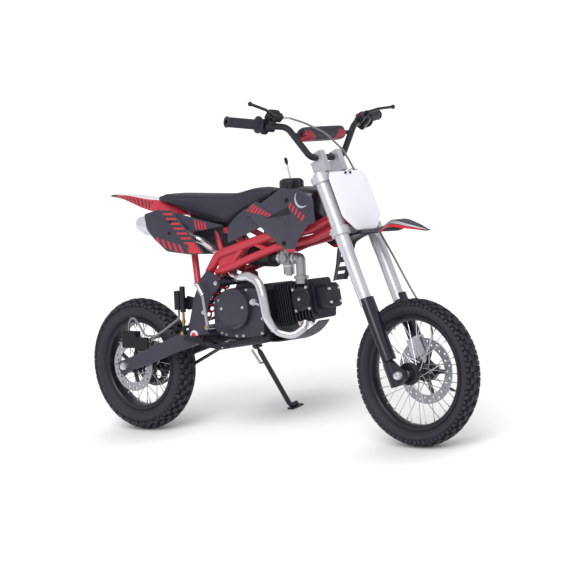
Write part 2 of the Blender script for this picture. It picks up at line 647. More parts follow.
print_red = (196, 38, 54)
pad_x, pad_z = 0.0335, bar_z + 0.0812
pad_vinyl = finish("pad_vinyl", (38, 37, 51), 0.46, grain=1500, depth=2e-4, mottle=0.1)
x, *front_view = parts_of(place_from(pad_vinyl.node_tree, fork_foot, fork_axes))
bands = (stripes(front_view, (-0.1, bar_z + 0.06), (-0.052, bar_z + 0.06), -0.01, 0.03, 5, 0.9, 0.55)
         | stripes(front_view, (0.048, bar_z + 0.06), (0.1, bar_z + 0.06), -0.01, 0.03, 5, -0.9, 0.55))
print_on(pad_vinyl, (bands * (front_view[1] < pad_z + 0.004) * (x > pad_x - 0.012), print_red))
pad_half = [(-0.104, 0.014, 0.012), (-0.101, 0.0205, 0.019), (-0.09, 0.0232, 0.0228), (-0.03, 0.0236, 0.0234)]
pad_rows = [(at, wide, pad_z - tall, pad_z + tall)
            for at, wide, tall in pad_half + [(-at, wide, tall) for at, wide, tall in pad_half[::-1]]]
points, faces = stuffed_body(smooth_rows(pad_rows, 50), 48, 2.8)
points = np.stack([pad_x + points[:, 1], points[:, 0], points[:, 2]], -1)
pad = add_piece("foam_pad", [(points, faces)], pad_vinyl, ("bar_pad",), 60, "fork", on_fork)


# Number plate: a moulded white board with rounded corners, blank, screwed to the upper clamp.
def rounded_outline(corners, reach, count=160):
    """A closed outline with corners cut by arcs, p = (1-t)^2 a + 2t(1-t) c + t^2 b, at equal steps."""
    corners = np.asarray(corners, float)
    steps = [np.roll(corners, turn, 0) - corners for turn in (1, -1)]
    near = [corners + step * np.minimum(reach / np.linalg.norm(step, axis=1), 0.45)[:, None] for step in steps]
    t = np.linspace(0, 1, 7)[None, :, None]
    line = ((1 - t) ** 2 * near[0][:, None] + 2 * t * (1 - t) * corners[:, None] + t ** 2 * near[1][:, None])
    line = line.reshape(-1, 2)
    loop = np.vstack([line, line[:1]])
    length = np.concatenate([[0], np.cumsum(np.linalg.norm(np.diff(loop, axis=0), axis=1))])
    at = np.linspace(0, length[-1], count, endpoint=False)
    return np.stack([np.interp(at, length, loop[:, k]) for k in range(2)], -1)


def moulded_panel(outline, centre, thick, crown, lip=0.002, folds=()):
    """A moulding over a flat outline, in (across, up, out).  Ring r is the outline shrunk to r about the
    centre, standing out by crown (1 - r^2); the edge rolls back by lip, and each fold, (a point, a
    direction, a slope), bends what is beyond its line back.  The inside repeats this a thickness lower."""
    rings = np.array([0.03, 0.12, 0.22, 0.32, 0.42, 0.52, 0.62, 0.71, 0.79, 0.86, 0.92, 0.96, 0.985, 1.0])
    roll = lip * np.clip((rings - 0.95) / 0.05, 0, 1) ** 2
    flat = centre + (outline[None] - centre) * rings[:, None, None]
    out = np.broadcast_to((crown * (1 - rings ** 2) - roll)[:, None], flat.shape[:2])
    for point, direction, slope in folds:
        out = out - slope * np.clip((flat - point) @ unit_of(np.array(direction)), 0, None)
    front = np.concatenate([flat, out[..., None]], -1)
    grid = np.concatenate([front, front[::-1] - np.array([0, 0, thick])])
    return grid.reshape(-1, 3), tube_faces(*grid.shape[:2])


plate_white = finish("plate_white", (240, 239, 248), 0.32, grain=500, depth=3e-5, mottle=0.015)
plate_corners = [(-0.084, -0.004), (0.084, -0.004), (0.0965, -0.024), (0.0975, -0.166), (0.051, -0.2165),
                 (-0.051, -0.2165), (-0.0975, -0.166), (-0.0965, -0.024)]
plate_line = rounded_outline([(y, clamp_top + fall) for y, fall in plate_corners], 0.014)
plate_x = 0.032 + 0.024 + 0.02
grid, faces = moulded_panel(plate_line, (0.0, clamp_top - 0.105), 0.0035, 0.0045)
plate = np.stack([plate_x + 0.002 + grid[:, 2], grid[:, 0], grid[:, 1]], -1)
mount = rounded_block((0.066, 0.0, 0.71), straight, (0.012, 0.012, 0.008))
add_piece("number_board", [(plate, faces), mount], plate_white, ("number_plate",),
          body="fork", place=on_fork)
plate_screws = [(plate_x + 0.0055, side * 0.012, clamp_top - 0.012) for side in (-1, 1)]
add_piece("plate_screws", [screw_heads(plate_screws, (1, 0, 0), 0.0045, 0.0025)], black_steel,
          body="fork", place=on_fork)


# Front mudguard: one glossy black moulding under the lower clamp; its nose has a silver and red flash
# on each turned-down side, and its tail is slotted.
def mudguard(rows, steps, around, flat):
    """A sheet over rows of (x, z, tilt, half width, drop): at share s across, y = half s, and the sheet
    is drop f^2 (3 - 2f) lower, with f = (|s| - flat) / (1 - flat).  Its map is share along, share across."""
    x, z, tilt, half, drop = smooth_rows(rows, steps).T[:, :, None]
    s = np.linspace(-1, 1, around)[None]
    f = np.clip((np.abs(s) - flat) / (1 - flat), 0, 1)
    fall = -drop * f ** 2 * (3 - 2 * f)
    tilt = np.radians(tilt)
    top = np.stack([x + np.sin(tilt) * fall, half * s, z + np.cos(tilt) * fall], -1)
    faces = grid_faces(steps, around)
    if x[0, 0] > x[-1, 0]:
        faces = faces[:, ::-1]
    own_map = np.stack(np.broadcast_arrays(np.linspace(0, 1, steps)[:, None], s / 2 + 0.5), -1)
    return top.reshape(-1, 3), faces, own_map.reshape(-1, 2)


def thicken(piece, thick):
    """A wall under the sheet."""
    wall = piece.modifiers.new("wall", "SOLIDIFY")
    wall.thickness = thick
    wall.offset = -1.0


def map_parts(tree):
    """A piece's own map: share along it, and distance from its middle line, 0 to 1."""
    run, share, flat = parts_of(Value(tree, node(tree, "UVMap", uv_map="own_map").outputs[0]))
    return run, (share * 2.0 - 1.0).worked("ABSOLUTE")


guard_black = finish("guard_black", (29, 28, 41), 0.3, grain=350, depth=3e-5, mottle=0.1)
guard_black.node_tree.nodes["Principled BSDF"].inputs["Specular IOR Level"].default_value = 0.2
run, beside = map_parts(guard_black.node_tree)
fade = (run * -2.6 + 1.0).clamped()
grey_flash = between(run, 0.0, 0.34, 0.004) * between(beside, 0.6, 0.8, 0.02) * fade
red_flash = between(run, 0.03, 0.36, 0.004) * between(beside, 0.82, 1.1, 0.015)
print_on(guard_black, (grey_flash, (214, 212, 220)), (red_flash, print_red))
guard_rows = [(x, low_clamp + rise, tilt, half, drop) for x, rise, tilt, half, drop in (
    (0.3136, -0.1044, 42, 0.008, 0.001), (0.2645, -0.0611, 40, 0.042, 0.012), (0.2118, -0.0238, 22, 0.058, 0.02),
    (0.1558, -0.0254, 4, 0.058, 0.016), (0.0599, -0.0008, 0, 0.052, 0.008), (-0.016, -0.0008, 0, 0.048, 0.006),
    (-0.0417, -0.0208, -32, 0.044, 0.004), (-0.074, -0.0669, -51, 0.042, 0.004),
    (-0.1125, -0.1071, -45, 0.036, 0.004))]
points, faces, own_map = mudguard(guard_rows, 150, 41, 0.5)
middle = points[faces].mean(1)
slotted = np.zeros(len(faces), bool)
for slot_x in (-0.0548, -0.074, -0.0932):
    slotted |= (np.abs(middle[:, 0] - slot_x) < 0.0046) & (np.abs(middle[:, 1]) < 0.02)
guard = add_piece("front_mudguard", [(points, faces[~slotted])], guard_black, ("front_fender",),
                  45, "fork", on_fork, False, own_map)
thicken(guard, 0.0035)

# Brake hoses: braided lines in a grey sleeve, held at both ends; the front one is crimped into a
# zinc ferrule at the master cylinder.
dress(finish("front_hose", (120, 119, 124), 0.36, 0.2, 2200, depth=3e-4), "front_brake_hose")
dress(finish("hose_sleeve", (124, 122, 130), 0.5, grain=2200, depth=5e-4, mottle=0.16), "rear_brake_hose")
hose_start = np.array([0.0555, -0.16, 0.9307])
master_end = np.array([0.0591, -0.2077, 0.9319])
ferrule = spun(on_fork(master_end), on_fork(hose_start + (hose_start - master_end) * 0.06), [
    (0.0056, 0), (0.0056, 0.22), (0.0044, 0.24), (0.0044, 0.56), (0.0041, 0.6), (0.0041, 1)], 18)
add_piece("hose_ferrule", [ferrule], zinc_steel, (), 35, "fork")

# Frame: welded round tubes and gusset plates, powder-coated coral red in a satin finish.
frame_red = finish("frame_red", (188, 46, 64), 0.4, grain=260, cloud=6, depth=2.5e-4, mottle=0.07,
                   worn=0.12, worn_shade=(235, 130, 140), coat=0.2)
dress(frame_red, "main_frame", "subframe")

# Swingarm and pivot plates: steel boxes and plates powder-coated charcoal, with zinc bolts, and a red
# pivot cap in a white ring on each side.
charcoal_coat = finish("charcoal_coat", (54, 52, 67), 0.46, 0.1, 320, depth=3e-4, mottle=0.07,
                       worn=0.25, worn_shade=(124, 122, 130))
dress(charcoal_coat, "swingarm", "pivot_plates", "skid_plate")
dress(finish("stand_black", (37, 36, 46), 0.42, 0.2, 500, depth=2e-4, worn=0.3, worn_shade=(120, 120, 124)),
      "side_stand")
bolts, rings, caps = [], [], []
for side in (-1, 1):
    out = side * across
    plate_bolts = [(-0.158, side * 0.106, 0.542), (-0.14, side * 0.106, 0.324), (-0.222, side * 0.106, 0.44)]
    bolts += [screw_heads(on_bike(plate_bolts), out, 0.0085, 0.006, 6),
              screw_heads(on_bike((-0.63, side * 0.11, 0.238)), out, 0.0125, 0.006, 6),
              screw_heads(on_bike((-0.258, side * 0.102, 0.538)), out, 0.008, 0.006, 6)]
    pivot = on_bike((-0.271, side * 0.106, 0.358))
    rings.append(spun(pivot, pivot + out * 0.006, [
        (0.0105, 0.2), (0.0105, 1), (0.0165, 1), (0.018, 0.8), (0.018, 0)], 32))
    caps.append(spun(pivot, pivot + out * 0.0075, [(0.006, 1), (0.0092, 0.93), (0.0103, 0.7), (0.0103, 0)], 28))
add_piece("frame_bolts", bolts, zinc_steel)
white_ring = finish("white_ring", (226, 224, 230), 0.4, depth=3e-5, mottle=0.04)
cap_red = finish("cap_red", (214, 40, 56), 0.36, depth=3e-5, mottle=0.08)
add_piece("pivot_rings", rings, white_ring)
add_piece("pivot_caps", caps, cap_red)


# Shock absorber: a turned damper body in a coil spring of red-sprayed wire, between rubber-bushed eyes.
def wire_along(path, out, up, wire, sides=8):
    """A round wire along a path; out and up span its cross-section."""
    b = np.arange(sides) * 2 * np.pi / sides
    ring = path[:, None] + wire * (np.cos(b)[None, :, None] * out + np.sin(b)[None, :, None] * up)
    return ring.reshape(-1, 3), tube_faces(len(path), sides)


def coil(start, end, radius, wire, turns, steps=40, sides=8):
    """A wire carried round the line from start to end: centre = start + share way + R (u cos a + v sin a)
    with a = 2 pi turns share, and round it the wire's own circle in the plane of the radius and the way."""
    unit = unit_of(end - start)
    u = unit_of(np.cross(unit, across))
    share = np.linspace(0, 1, int(turns * steps))[:, None]
    a = 2 * np.pi * turns * share
    out = u * np.cos(a) + np.cross(unit, u) * np.sin(a)
    return wire_along(start + (end - start) * share + out * radius, out[:, None], unit, wire, sides)


beam = np.array([-0.63 + 0.271, 0.0, 0.238 - 0.358])
beam_up = np.array([unit_of(beam)[2], 0, -unit_of(beam)[0]])
shock_top = on_bike((-0.158, 0.0, 0.606))
shock_low = on_bike(np.array([-0.271, 0, 0.358]) + beam * 0.2 + beam_up * 0.047)
way = unit_of(shock_low - shock_top)
add_piece("shock_body", [
    spun(shock_top, shock_top + way * 0.1, [
        (0.011, 0.05), (0.019, 0.24), (0.0215, 0.28), (0.0215, 0.42), (0.0195, 0.44), (0.0195, 0.9),
        (0.017, 1)], 28),
    rod(shock_top + way * 0.095, shock_low - way * 0.012, 0.0075, 20),
    spun(shock_low - way * 0.036, shock_low - way * 0.012, [
        (0.024, 0), (0.0255, 0.15), (0.0255, 0.4), (0.012, 0.6), (0.011, 1)], 28),
    rod(shock_top - across * 0.019, shock_top + across * 0.019, 0.0115, 24),
    rod(shock_low - across * 0.0215, shock_low + across * 0.0215, 0.0115, 24),
], leg_black, ("shock",), 35)
add_piece("shock_spring", [coil(shock_top + way * 0.044, shock_low - way * 0.036, 0.0225, 0.0036, 8)], cap_red)

# Engine: die-cast aluminium sprayed heat-proof black, with smooth satin covers held by zinc screws.
engine_cast = finish("engine_cast", (31, 30, 41), 0.46, 0.2, 420, depth=6e-4, mottle=0.15,
                     worn=0.25, worn_shade=(108, 108, 114))
cover_satin = finish("cover_satin", (55, 54, 68), 0.38, 0.15, 520, depth=2e-4, mottle=0.08,
                     worn=0.2, worn_shade=(124, 124, 132))
dress(engine_cast, "engine_case", "engine_cylinder")
dress(cover_satin, "engine_covers")
lid_profile = [(0.4, 0.92), (0.72, 0.78), (0.8, 0.7), (0.815, 0.5), (0.84, 0.5), (0.855, 0.68), (0.93, 0.66),
               (0.975, 0.5), (0.985, 0.0)]
lids = []
for side, x, z, base, radius in ((-1, -0.073, 0.455, 0.118, 0.07), (1, -0.02, 0.44, 0.116, 0.062)):
    at, out = on_bike((x, side * base, z)), side * across
    profile = [(0.004, 0.98)] + [(part * radius, share) for part, share in lid_profile]
    lids.append(spun(at - out * 0.002, at + out * 0.006, profile, 96))
add_piece("cover_lids", lids, cover_satin, (), 50)
case_screws = [(-0.073 + 0.049 * np.cos(a), -0.1228, 0.455 + 0.049 * np.sin(a)) for a in (np.pi, 0.12)]
rim_screws = [(-0.15, 0.482), (-0.142, 0.369), (-0.122, 0.364), (-0.073, 0.361), (-0.042, 0.362),
              (0.044, 0.373), (0.047, 0.422), (0.044, 0.5), (-0.02, 0.52), (-0.11, 0.51)]
add_piece("cover_screws", [
    screw_heads(on_bike(case_screws), -across, 0.0052, 0.004),
    screw_heads(on_bike([(x, -0.102, z) for x, z in rim_screws]), -across, 0.005, 0.005),
    screw_heads(on_bike([(x, 0.1, z) for x, z in rim_screws]), across, 0.005, 0.005),
], zinc_steel)
barrel = np.radians(9.5)
barrel_axes = np.array([[np.cos(barrel), 0, np.sin(barrel)], [0, 1, 0], [-np.sin(barrel), 0, np.cos(barrel)]])


def on_barrel(points):
    """Points in the cylinder's axes, forward along the bore, left and up, from where it leaves the case."""
    return on_bike(np.array([0.06, 0, 0.46]) + np.asarray(points, float) @ barrel_axes)


head_axes = barrel_axes @ bike_axes
heads, head_bolts = [], [(x, z) for x in (0.106, 0.166) for z in (-0.03, 0.042)]
for side, radius in ((-1, 0.041), (1, 0.038)):
    at = on_barrel((0.136, side * 0.058, 0.006))
    heads.append(spun(at, at + side * across * 0.013, [
        (0.004, 1), (0.55 * radius, 1), (0.9 * radius, 0.9), (radius, 0.7), (radius, 0)], 48))
    for rise in np.linspace(-0.026, 0.026, 7):
        half = (np.sqrt(radius ** 2 - rise ** 2) * 0.92, 0.0022, 0.0014)
        heads.append(rounded_block(on_barrel((0.136, side * 0.0715, 0.006 + rise)), head_axes, half, 0.4, 0.4))
for x, z in head_bolts:
    heads += [rod(on_barrel((x, side * 0.045, z)), on_barrel((x, side * 0.0615, z)), 0.009, 16)
              for side in (-1, 1)]
for z in (0.03, -0.026):
    heads.append(rounded_block(on_barrel((0.216, 0.0, z)), head_axes, (0.016, 0.026, 0.014)))
add_piece("head_covers", heads, engine_cast)
side_screws = {side: on_barrel([(0.136, side * 0.0725, 0.006)] + [(x, side * 0.0625, z) for x, z in head_bolts])
               for side in (-1, 1)}
front_screws = [(0.2285, y, z) for y in (-0.024, 0.024) for z in (-0.022, 0.024)]
top_screws = [(-0.048, -0.03, 0.528), (-0.01, -0.052, 0.532), (-0.1, 0.04, 0.524)]
add_piece("head_screws", [
    screw_heads(side_screws[-1], -across, 0.0058, 0.006, 6),
    screw_heads(side_screws[1], across, 0.0058, 0.006, 6),
    screw_heads(on_barrel(front_screws), head_axes[0], 0.0058, 0.006, 6),
    screw_heads(on_bike(top_screws), upward, 0.0055, 0.006, 6),
], zinc_steel)
plug = on_bike((0.013, -0.102, 0.479))
add_piece("oil_fitting", [
    spun(plug, plug - across * 0.016, [(0.0115, 0), (0.0115, 0.5), (0.0085, 0.55), (0.0085, 1)], 20),
    rod(on_bike((0.013, -0.112, 0.479)), on_bike((0.045, -0.112, 0.47)), 0.0045, 12),
], clamp_silver)

# Intake: bare cast elbow and carburettor, with a rubber boot back to the air filter.
bare_cast = finish("bare_cast", (168, 166, 170), 0.4, 0.75, 700, depth=3e-4)
dress(bare_cast, "intake_elbow", "carburettor")
dress(finish("boot_rubber", (28, 28, 37), 0.6, depth=4e-4, mottle=0.14), "air_filter")


def carburettor_form(start, end, profile, sides):
    """A round form between two places given as (x, z) in the carburettor's own plane."""
    (from_x, from_z), (to_x, to_z) = start, end
    return spun(on_bike((from_x, -0.052, from_z)), on_bike((to_x, -0.052, to_z)), profile, sides)


add_piece("carburettor_fittings", [
    carburettor_form((0.134, 0.604), (0.134, 0.598), [(0.0205, 0), (0.0205, 1)], 28),
    carburettor_form((0.134, 0.574), (0.134, 0.566), [(0.0115, 0), (0.0115, 1)], 6),
    carburettor_form((0.134, 0.65), (0.134, 0.672), [(0.0165, 0), (0.0165, 0.8), (0.012, 1)], 24),
    carburettor_form((0.16, 0.628), (0.167, 0.628), [(0.0215, 0), (0.0215, 1)], 24),
], clamp_silver)
clip = spun(on_bike((0.098, -0.0515, 0.6285)), on_bike((0.108, -0.052, 0.628)), [
    (0.0236, 0), (0.024, 0.1), (0.024, 0.9), (0.0236, 1)], 28)
add_piece("boot_clip", [clip], zinc_steel)
port = carburettor_form((0.188, 0.541), (0.188, 0.567), [
    (0.0205, 0), (0.0205, 0.6), (0.0255, 0.62), (0.0255, 0.96), (0.022, 1)], 32)
add_piece("intake_port", [port], bare_cast, (), 35)

# Exhaust: chromed header under a drilled shield, and a brushed silencer in a black strap by the tail.
pipe_chrome = finish("pipe_chrome", (206, 204, 210), 0.2, 0.92, 500, mottle=0.07)
dress(pipe_chrome, "exhaust_pipe", "kick_lever")
dress(finish("shield_chrome", (214, 213, 220), 0.28, 0.8, 700, mottle=0.05), "heat_shield")
silencer_alloy = finish("silencer_alloy", (212, 210, 222), 0.36, 0.5, mottle=0.05)
start = on_bike((-0.262, -0.104, 0.701))
reach = unit_of(np.array([-0.034, 0.0, 0.007])) @ bike_axes
silencer = spun(start, start + reach, [
    (0.0138, 0), (0.018, 0.01), (0.03, 0.028), (0.0335, 0.034), (0.034, 0.04), (0.034, 0.044), (0.0332, 0.046),
    (0.0332, 0.204), (0.034, 0.206), (0.034, 0.214), (0.0325, 0.222), (0.0285, 0.24), (0.0245, 0.2545),
    (0.0225, 0.2558), (0.015, 0.2558), (0.012, 0.255), (0.0115, 0.23), (0.0105, 0.229)], 64)
add_piece("silencer", [silencer], silencer_alloy, ("muffler",))
strap = spun(start, start + reach, [(0.0342, 0.118), (0.0356, 0.119), (0.0356, 0.143), (0.0342, 0.144)], 64, True)
add_piece("silencer_strap", [strap], gloss_black)
flange_nuts = on_bike([(0.178, -0.056, 0.4045), (0.214, -0.036, 0.4045)])
add_piece("flange_nuts", [screw_heads(flange_nuts, -upward, 0.0065, 0.007, 6)], zinc_steel)

# Sprockets and chain: case-hardened steel, the rear sprocket sprayed black.  The chain is made of side
# plates and rollers on pins, half an inch apart, running over both sprockets.
chain_steel = finish("chain_steel", (130, 128, 130), 0.38, 0.85, 500, depth=3e-4, mottle=0.25)
dress(hub_black, "rear_sprocket")
dress(chain_steel, "front_sprocket")
pitch, chain_y = 0.0127, 0.056
gear_back, gear_ahead = np.array([-0.63, 0.238]), np.array([-0.166, 0.404])
large, small = 0.078 + 0.005, 0.036 + 0.005
span = gear_ahead - gear_back
slope = np.arctan2(span[1], span[0])
spread = np.arccos((large - small) / np.linalg.norm(span))
straight_run = np.linalg.norm(span) * np.sin(spread)
over_small, over_large = small * 2 * spread, large * 2 * (np.pi - spread)
loop = 2 * straight_run + over_small + over_large
links = 2 * round(loop / pitch / 2)


def heading(angle):
    """Steps of length 1 at angles in the side view."""
    return np.stack([np.cos(angle), np.sin(angle)], -1)


def chain_line(share):
    """Places along the chain at shares of its length: a run, the arc over the front sprocket, a run
    back, and the arc round the rear sprocket."""
    s = ((np.asarray(share) % 1.0) * loop)[:, None]
    up, down = heading(slope + spread), heading(slope - spread)
    back_at = straight_run + over_small
    first = gear_back + large * up + (span + (small - large) * up) * (s / straight_run)
    second = gear_ahead + small * heading(slope + spread - (s[:, 0] - straight_run) / small)
    third = gear_ahead + small * down + ((large - small) * down - span) * ((s - back_at) / straight_run)
    fourth = gear_back + large * heading(slope - spread - (s[:, 0] - straight_run - back_at) / large)
    which = np.searchsorted([straight_run, back_at, straight_run + back_at], s)
    return np.choose(which, [first, second, third, fourth])


pins = chain_line(np.arange(links) / links)
unit = unit_of(chain_line((np.arange(links) + 1) / links) - pins)
normal = np.stack([-unit[:, 1], unit[:, 0]], -1)
lobe = heading(np.arange(6) * np.pi / 5 + np.pi / 2) * 0.0048
shape = np.concatenate([lobe, lobe * -1 + np.array([pitch, 0])])
plan = (pins[:, None] + shape[None, :, 0, None] * unit[:, None] + shape[None, :, 1, None] * normal[:, None])
outer = np.where(np.arange(links) % 2, 0.0052, 0.0036)
chain = []
for side in (-1, 1):
    inner_face = chain_y + side * outer
    both = np.stack([inner_face, inner_face + side * 0.0014], -1)[:, :, None]
    grid = np.stack(np.broadcast_arrays(plan[:, None, :, 0], both, plan[:, None, :, 1]), -1)
    chain += [(link.reshape(-1, 3), tube_faces(2, 12)) for link in grid]
pin = np.stack([pins[:, 0], np.full(links, chain_y), pins[:, 1]], -1)
half_pin = np.array([0, 0.0066, 0])
roller = [(0.0022, 0), (0.0022, 0.2), (0.004, 0.2), (0.004, 0.8), (0.0022, 0.8), (0.0022, 1)]
chain.append(spun(pin - half_pin, pin + half_pin, roller, 8))
add_piece("drive_chain", chain, chain_steel, ("chain",), 30, place=on_bike)

# Tank: blow-moulded black plastic between the shrouds, under a scalloped screw cap with a breather.
tank_black = finish("tank_black", (34, 33, 44), 0.28, grain=500, depth=6e-5, mottle=0.08, coat=0.3)
tank_rows = smooth_rows([
    (0.07, 0.02, 0.75, 0.838), (0.078, 0.034, 0.732, 0.847), (0.13, 0.061, 0.724, 0.8655),
    (0.196, 0.0655, 0.728, 0.8675), (0.238, 0.048, 0.744, 0.856), (0.2455, 0.034, 0.76, 0.846)], 60)
add_piece("tank_shell", [stuffed_body(tank_rows, 56, 3.4)], tank_black, ("fuel_tank",), 50,
          place=on_bike)
cap_black = finish("cap_black", (24, 23, 34), 0.34, depth=1e-4, mottle=0.1)
turn = np.arange(144) * 2 * np.pi / 144
wave = 0.5 + 0.5 * np.cos(12 * turn + np.pi)
rise, part, scallop = np.array([  # height, share of the radius, depth of the twelve scallops
    (0, 0.62, 0), (0, 0.97, 0), (0.002, 1, 1), (0.026, 1, 1), (0.031, 0.96, 1), (0.034, 0.88, 0.8),
    (0.0365, 0.76, 0.2), (0.0385, 0.7, 0), (0.0375, 0.6, 0), (0.037, 0.2, 0), (0.037, 0.03, 0)]).T[:, :, None]
radius = 0.042 * part * (1 - 0.085 * scallop * (1 - wave) ** 0.7)
grid = np.stack([0.118 + radius * np.cos(turn), radius * np.sin(turn), 0.8575 + rise + 0 * radius], -1)
add_piece("filler_cap", [(grid.reshape(-1, 3), tube_faces(*grid.shape[:2]))], cap_black,
          ("fuel_cap",), 35, place=on_bike)
tube_white = finish("tube_white", (214, 212, 220), 0.35, depth=3e-5, mottle=0.05)
low, high, tip = on_bike([(0.114, 0, 0.892), (0.1005, 0, 0.946), (0.095, 0, 0.966)])
add_piece("breather_tube", [rod(low, high, 0.0034, 16)], tube_white)
valve = spun(high - (tip - high) * 0.12, tip, [
    (0.0048, 0), (0.0048, 0.28), (0.0062, 0.3), (0.0062, 0.58), (0.0046, 0.62), (0.0058, 0.68), (0.0058, 0.94),
    (0.0045, 1)], 18)
add_piece("breather_valve", [valve], cap_black)


# Shrouds: charcoal plastic wings bolted to the tank and the frame, with printed red stripes.
def radius_from(side_view, middle, height):
    """How far a place is from a point of a side view."""
    ahead, over = side_view[0] - middle, side_view[1] - height
    return (ahead * ahead + over * over).worked("SQRT")


def outward_side(tree, side_value):
    """1 on the faces that look away from the bike's middle, 0 on their backs."""
    normal = node(tree, "TexCoord").outputs["Normal"]
    return vector_value(tree, "DOT_PRODUCT", normal, across) * side_value > 0.0


shroud_grey = finish("shroud_grey", (55, 54, 69), 0.4, grain=700, depth=8e-5, mottle=0.06)
x, y, z = parts_of(place_from(shroud_grey.node_tree, bike_foot))
view = (x, z)
printed = outward_side(shroud_grey.node_tree, y)
rear_bars = (stripes(view, (0.018, 0.808), (0.12, 0.77), -0.022, 0.01, 7, -0.5, 0.6)
             * stripes(view, (0.0, 0.789), (0.14, 0.768), 0.0, 0.1))
fore_bars = stripes(view, (0.206, 0.8), (0.276, 0.748), 0.002, 0.024, 5, 0.1, 0.5)
edge_red = stripes(view, (0.19, 0.6585), (0.232, 0.6585), -0.02, 0.004)
crease = (stripes(view, (0.04, 0.824), (0.212, 0.742), -0.0009, 0.0009)
          | stripes(view, (0.168, 0.868), (0.212, 0.742), -0.0009, 0.0009))
scoop = (stripes(view, (0.092, 0.764), (0.222, 0.778), 0.0, 0.03)
         * stripes(view, (0.084, 0.762), (0.208, 0.806), -0.05, 0.0))
crescent = (radius_from(view, 0.268, 0.83) < 0.03) * (radius_from(view, 0.2745, 0.8365) > 0.0305)
print_on(shroud_grey, ((rear_bars | fore_bars) * printed, print_red), (edge_red, print_red),
         (crease * printed, (20, 19, 29)), (scoop * printed, (16, 14, 24)), (crescent * printed, (176, 175, 186)))


def both_walls(panel, at, along_slope=0.0):
    """A panel on the bike's right, y = -(at + slope x + out), and its mirror image on the left."""
    (x, up, out), faces = panel[0].T, panel[1]
    right = np.stack([x, -(at + along_slope * x + out), up], -1)
    return [(right, faces), (right * (1, -1, 1), faces)]


front_line = rounded_outline([
    (0.064, 0.815), (0.168, 0.868), (0.262, 0.856), (0.312, 0.832), (0.318, 0.748), (0.29, 0.744), (0.236, 0.69),
    (0.222, 0.652), (0.196, 0.65), (0.108, 0.704), (0.02, 0.766), (-0.006, 0.802), (0.04, 0.824)], 0.008, 200)
front_folds = [((0.262, 0.8), (1.0, 0.12), 0.18), ((0.1, 0.81), (-0.35, 1.0), 0.22)]
rear_line = rounded_outline([
    (-0.008, 0.802), (0.036, 0.77), (0.06, 0.738), (-0.104, 0.68), (-0.1, 0.738), (-0.052, 0.778)], 0.01)
wings = both_walls(moulded_panel(front_line, (0.18, 0.765), 0.0035, 0.0035, 0.0018, front_folds), 0.1045, 0.09)
wings += both_walls(moulded_panel(rear_line, (-0.03, 0.74), 0.0035, 0.002, 0.0015), 0.0975)
for side in (-1, 1):
    wings += [rounded_block((0.014, side * 0.1015, 0.785), straight, (0.02, 0.006, 0.011)),
              rod((0.178, side * 0.061, 0.681), (0.178, side * 0.119, 0.681), 0.007, 20),
              rod((0.2, side * 0.052, 0.826), (0.2, side * 0.121, 0.826), 0.008, 20)]
add_piece("shroud_wings", wings, shroud_grey, ("shrouds",), 35, place=on_bike)

# Side panels: charcoal plastic plates over the seat rails, each with an arm to the shroud, printed with
# red bars along two edges and a torn red flash at the front corner; the fields for numbers are blank.
side_grey = finish("side_grey", (49, 48, 62), 0.42, grain=700, depth=8e-5, mottle=0.06)
own_place = place_from(side_grey.node_tree, bike_foot)
x, y, z = parts_of(own_place)
view = (x, z)
outside = y.worked("ABSOLUTE") > 0.137
bars = (stripes(view, (-0.332, 0.806), (-0.2, 0.67), -0.038, -0.005, 8, -0.97, 0.42)
        | stripes(view, (-0.392, 0.672), (-0.258, 0.64), 0.002, 0.029, 5, 0.75, 0.5))
torn_edge = noise(own_place, 70.0, 3.0) * 0.045 - 0.272
flash = ((x > torn_edge) * stripes(view, (-0.27, 0.6485), (-0.17, 0.6485), 0.0, 0.034)
         * stripes(view, (-0.26, 0.732), (-0.176, 0.646), -0.08, -0.005))
arm_bars = stripes(view, (-0.232, 0.752), (-0.18, 0.738), -0.018, 0.012, 4, 0.5, 0.55)
prints = (bars | flash) * outside + arm_bars * (outside * -1.0 + 1.0)
print_on(side_grey, (prints * outward_side(side_grey.node_tree, y), print_red))
side_line = rounded_outline([
    (-0.46, 0.786), (-0.385, 0.802), (-0.34, 0.806), (-0.316, 0.79), (-0.176, 0.646), (-0.24, 0.643),
    (-0.356, 0.654), (-0.415, 0.697), (-0.45, 0.732)], 0.01, 200)
arm_line = rounded_outline([
    (-0.34, 0.8), (-0.316, 0.79), (-0.118, 0.742), (-0.146, 0.736), (-0.236, 0.722), (-0.336, 0.75)], 0.006)
side_parts = both_walls(moulded_panel(side_line, (-0.325, 0.725), 0.0035, 0.003, 0.0018), 0.1385)
side_parts += both_walls(moulded_panel(arm_line, (-0.27, 0.755), 0.0035, 0.001, 0.0012), 0.0792, -0.1807)
sunk = []
for side in (-1, 1):
    side_parts += [rounded_block((-0.315, side * 0.1245, 0.78), straight, (0.015, 0.0165, 0.004)),
                   rod((-0.33, side * 0.046, 0.758), (-0.33, side * 0.1385, 0.758), 0.006, 16)]
    plate_places = [(x, side * 0.1412, z) for x, z in ((-0.338, 0.718), (-0.33, 0.758))]
    wing_places = [(x, side * (0.105 + 0.09 * x + 0.0018), z) for x, z in ((0.178, 0.681), (0.2, 0.826))]
    sunk += [screw_heads(on_bike(plate_places), side * across, 0.0058, 0.0022),
             screw_heads(on_bike(wing_places), side * across, 0.0085, 0.0028)]
add_piece("side_plates", side_parts, side_grey, ("side_panels",), 35, place=on_bike)
add_piece("panel_screws", sunk, black_steel)

